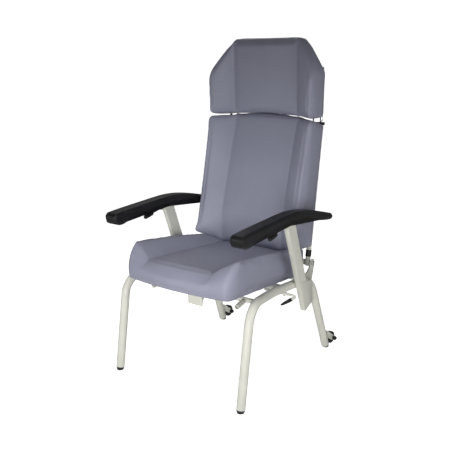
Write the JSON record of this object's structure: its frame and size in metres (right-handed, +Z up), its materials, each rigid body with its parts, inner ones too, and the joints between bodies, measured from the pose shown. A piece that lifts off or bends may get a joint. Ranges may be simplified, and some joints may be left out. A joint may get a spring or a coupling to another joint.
{
  "type": "patient recliner chair",
  "caption": "High-backed patient recliner chair: bent tube frame, padded arms, winged vinyl cushions, tilting back, sliding headrest, rear transport wheels.",
  "frame": {"origin": "on the floor, at the centre of the bounding box in X and Y", "axes": "+X the sitter's left, -Y the way the sitter faces, +Z up"},
  "size_m": [0.634, 0.803, 1.306],
  "materials": {
    "arm_base_left_finish": "light warm grey powder coat, semi-gloss",
    "arm_base_right_finish": "light warm grey powder coat, semi-gloss",
    "arm_pad_left_finish": "black moulded polyurethane",
    "arm_pad_right_finish": "black moulded polyurethane",
    "arm_post_left_finish": "light warm grey powder coat, semi-gloss",
    "arm_post_right_finish": "light warm grey powder coat, semi-gloss",
    "back_board_finish": "sealed birch plywood",
    "back_cross_lower_finish": "light warm grey powder coat, semi-gloss",
    "back_cross_upper_finish": "light warm grey powder coat, semi-gloss",
    "back_cushion_finish": "satin grey-blue vinyl upholstery over foam",
    "back_upright_left_finish": "light warm grey powder coat, semi-gloss",
    "back_upright_right_finish": "light warm grey powder coat, semi-gloss",
    "foot_cap_front_left_finish": "matt black rubber",
    "foot_cap_front_right_finish": "matt black rubber",
    "foot_cap_rear_left_finish": "matt black rubber",
    "foot_cap_rear_right_finish": "matt black rubber",
    "front_cross_tube_finish": "light warm grey powder coat, semi-gloss",
    "gas_crank_finish": "light warm grey powder coat, semi-gloss",
    "gas_cylinder_finish": "black painted steel",
    "gas_rod_finish": "bright zinc-plated or ground steel",
    "gusset_left_finish": "light warm grey powder coat, semi-gloss",
    "gusset_right_finish": "light warm grey powder coat, semi-gloss",
    "hand_lever_left_finish": "bright zinc-plated or ground steel",
    "hand_lever_right_finish": "bright zinc-plated or ground steel",
    "head_board_finish": "sealed birch plywood",
    "head_cushion_finish": "satin grey-blue vinyl upholstery over foam",
    "head_guide_left_finish": "black moulded plastic",
    "head_guide_right_finish": "black moulded plastic",
    "head_lock_rod_left_finish": "bright zinc-plated or ground steel",
    "head_lock_rod_right_finish": "bright zinc-plated or ground steel",
    "head_post_left_finish": "bright zinc-plated or ground steel",
    "head_post_right_finish": "bright zinc-plated or ground steel",
    "hook_plate_finish": "light warm grey powder coat, semi-gloss",
    "lever_knob_left_finish": "black moulded plastic",
    "lever_knob_right_finish": "black moulded plastic",
    "mid_cross_tube_finish": "light warm grey powder coat, semi-gloss",
    "pivot_bolt_left_finish": "bright zinc-plated or ground steel",
    "pivot_bolt_right_finish": "bright zinc-plated or ground steel",
    "pivot_lug_left_finish": "light warm grey powder coat, semi-gloss",
    "pivot_lug_right_finish": "light warm grey powder coat, semi-gloss",
    "rear_cross_tube_finish": "light warm grey powder coat, semi-gloss",
    "release_bracket_finish": "light warm grey powder coat, semi-gloss",
    "release_paddle_finish": "black moulded plastic",
    "release_shaft_finish": "light warm grey powder coat, semi-gloss",
    "seat_board_finish": "sealed birch plywood",
    "seat_cushion_finish": "satin grey-blue vinyl upholstery over foam",
    "side_frame_left_finish": "light warm grey powder coat, semi-gloss",
    "side_frame_right_finish": "light warm grey powder coat, semi-gloss",
    "socket_tube_left_finish": "light warm grey powder coat, semi-gloss",
    "socket_tube_right_finish": "light warm grey powder coat, semi-gloss",
    "tube_collar_left_finish": "black moulded plastic",
    "tube_collar_right_finish": "black moulded plastic",
    "wheel_axle_left_finish": "black moulded plastic",
    "wheel_axle_right_finish": "black moulded plastic",
    "wheel_fork_left_finish": "light warm grey powder coat, semi-gloss",
    "wheel_fork_right_finish": "light warm grey powder coat, semi-gloss",
    "wheel_hub_left_finish": "dark grey moulded plastic",
    "wheel_hub_right_finish": "dark grey moulded plastic",
    "wheel_tyre_left_finish": "matt black rubber",
    "wheel_tyre_right_finish": "matt black rubber"
  },
  "bodies": {
    "frame": {"arm_base_left": "arm_base_left_finish", "arm_base_right": "arm_base_right_finish", "arm_pad_left": "arm_pad_left_finish", "arm_pad_right": "arm_pad_right_finish", "arm_post_left": "arm_post_left_finish", "arm_post_right": "arm_post_right_finish", "foot_cap_front_left": "foot_cap_front_left_finish", "foot_cap_front_right": "foot_cap_front_right_finish", "foot_cap_rear_left": "foot_cap_rear_left_finish", "foot_cap_rear_right": "foot_cap_rear_right_finish", "front_cross_tube": "front_cross_tube_finish", "gusset_left": "gusset_left_finish", "gusset_right": "gusset_right_finish", "hook_plate": "hook_plate_finish", "mid_cross_tube": "mid_cross_tube_finish", "pivot_bolt_left": "pivot_bolt_left_finish", "pivot_bolt_right": "pivot_bolt_right_finish", "pivot_lug_left": "pivot_lug_left_finish", "pivot_lug_right": "pivot_lug_right_finish", "rear_cross_tube": "rear_cross_tube_finish", "release_bracket": "release_bracket_finish", "seat_board": "seat_board_finish", "seat_cushion": "seat_cushion_finish", "side_frame_left": "side_frame_left_finish", "side_frame_right": "side_frame_right_finish", "socket_tube_left": "socket_tube_left_finish", "socket_tube_right": "socket_tube_right_finish", "wheel_axle_left": "wheel_axle_left_finish", "wheel_axle_right": "wheel_axle_right_finish", "wheel_fork_left": "wheel_fork_left_finish", "wheel_fork_right": "wheel_fork_right_finish"},
    "backrest": {"back_board": "back_board_finish", "back_cross_lower": "back_cross_lower_finish", "back_cross_upper": "back_cross_upper_finish", "back_cushion": "back_cushion_finish", "back_upright_left": "back_upright_left_finish", "back_upright_right": "back_upright_right_finish", "gas_crank": "gas_crank_finish", "head_guide_left": "head_guide_left_finish", "head_guide_right": "head_guide_right_finish", "tube_collar_left": "tube_collar_left_finish", "tube_collar_right": "tube_collar_right_finish"},
    "headrest": {"head_board": "head_board_finish", "head_cushion": "head_cushion_finish", "head_lock_rod_left": "head_lock_rod_left_finish", "head_lock_rod_right": "head_lock_rod_right_finish", "head_post_left": "head_post_left_finish", "head_post_right": "head_post_right_finish"},
    "gas_cylinder": {"gas_cylinder": "gas_cylinder_finish"},
    "gas_rod": {"gas_rod": "gas_rod_finish"},
    "lever_left": {"hand_lever_left": "hand_lever_left_finish", "lever_knob_left": "lever_knob_left_finish"},
    "lever_right": {"hand_lever_right": "hand_lever_right_finish", "lever_knob_right": "lever_knob_right_finish"},
    "release": {"release_paddle": "release_paddle_finish", "release_shaft": "release_shaft_finish"},
    "wheel_left": {"wheel_hub_left": "wheel_hub_left_finish", "wheel_tyre_left": "wheel_tyre_left_finish"},
    "wheel_right": {"wheel_hub_right": "wheel_hub_right_finish", "wheel_tyre_right": "wheel_tyre_right_finish"}
  },
  "joints": [
    {"name": "recline", "type": "hinge", "parent": "frame", "child": "backrest", "pos_m": [0, 0.2363, 0.402], "axis": [-1, 0, 0], "range_deg": [0, 40]},
    {"name": "headrest_height", "type": "slide", "parent": "backrest", "child": "headrest", "axis": [0, 0.1191, 0.9929], "range_m": [0, 0.08]},
    {"name": "gas_cylinder_swing", "type": "hinge", "parent": "frame", "child": "gas_cylinder", "pos_m": [0, -0.02, 0.305], "axis": [-1, 0, 0], "range_deg": [-0.5, 0.1]},
    {"name": "gas_rod_slide", "type": "slide", "parent": "gas_cylinder", "child": "gas_rod", "axis": [0, 0.9956, 0.0937], "range_m": [-0.0515, 0.0005]},
    {"name": "hand_lever_left_pull", "type": "hinge", "parent": "frame", "child": "lever_left", "pos_m": [-0.2938, -0.103, 0.6225], "axis": [-1, 0, 0], "range_deg": [0, 10], "stiffness_Nm_per_rad": 0.5, "springref_deg": -8.59},
    {"name": "hand_lever_right_pull", "type": "hinge", "parent": "frame", "child": "lever_right", "pos_m": [0.2938, -0.103, 0.6225], "axis": [-1, 0, 0], "range_deg": [0, 10], "stiffness_Nm_per_rad": 0.5, "springref_deg": -8.59},
    {"name": "release_turn", "type": "hinge", "parent": "frame", "child": "release", "pos_m": [0.243, 0.017, 0.329], "axis": [1, 0, 0], "range_deg": [0, 20], "stiffness_Nm_per_rad": 0.8, "springref_deg": -8.59},
    {"name": "wheel_left_spin", "type": "hinge", "parent": "frame", "child": "wheel_left", "pos_m": [-0.2765, 0.3745, 0.033], "axis": [1, 0, 0], "continuous": true},
    {"name": "wheel_right_spin", "type": "hinge", "parent": "frame", "child": "wheel_right", "pos_m": [0.2765, 0.3745, 0.033], "axis": [1, 0, 0], "continuous": true}
  ],
  "couplings": [
    {"joint": "gas_cylinder_swing", "follows": "recline", "ratio": -0.01},
    {"joint": "gas_rod_slide", "follows": "recline", "m_per_rad": -0.0732}
  ]
}
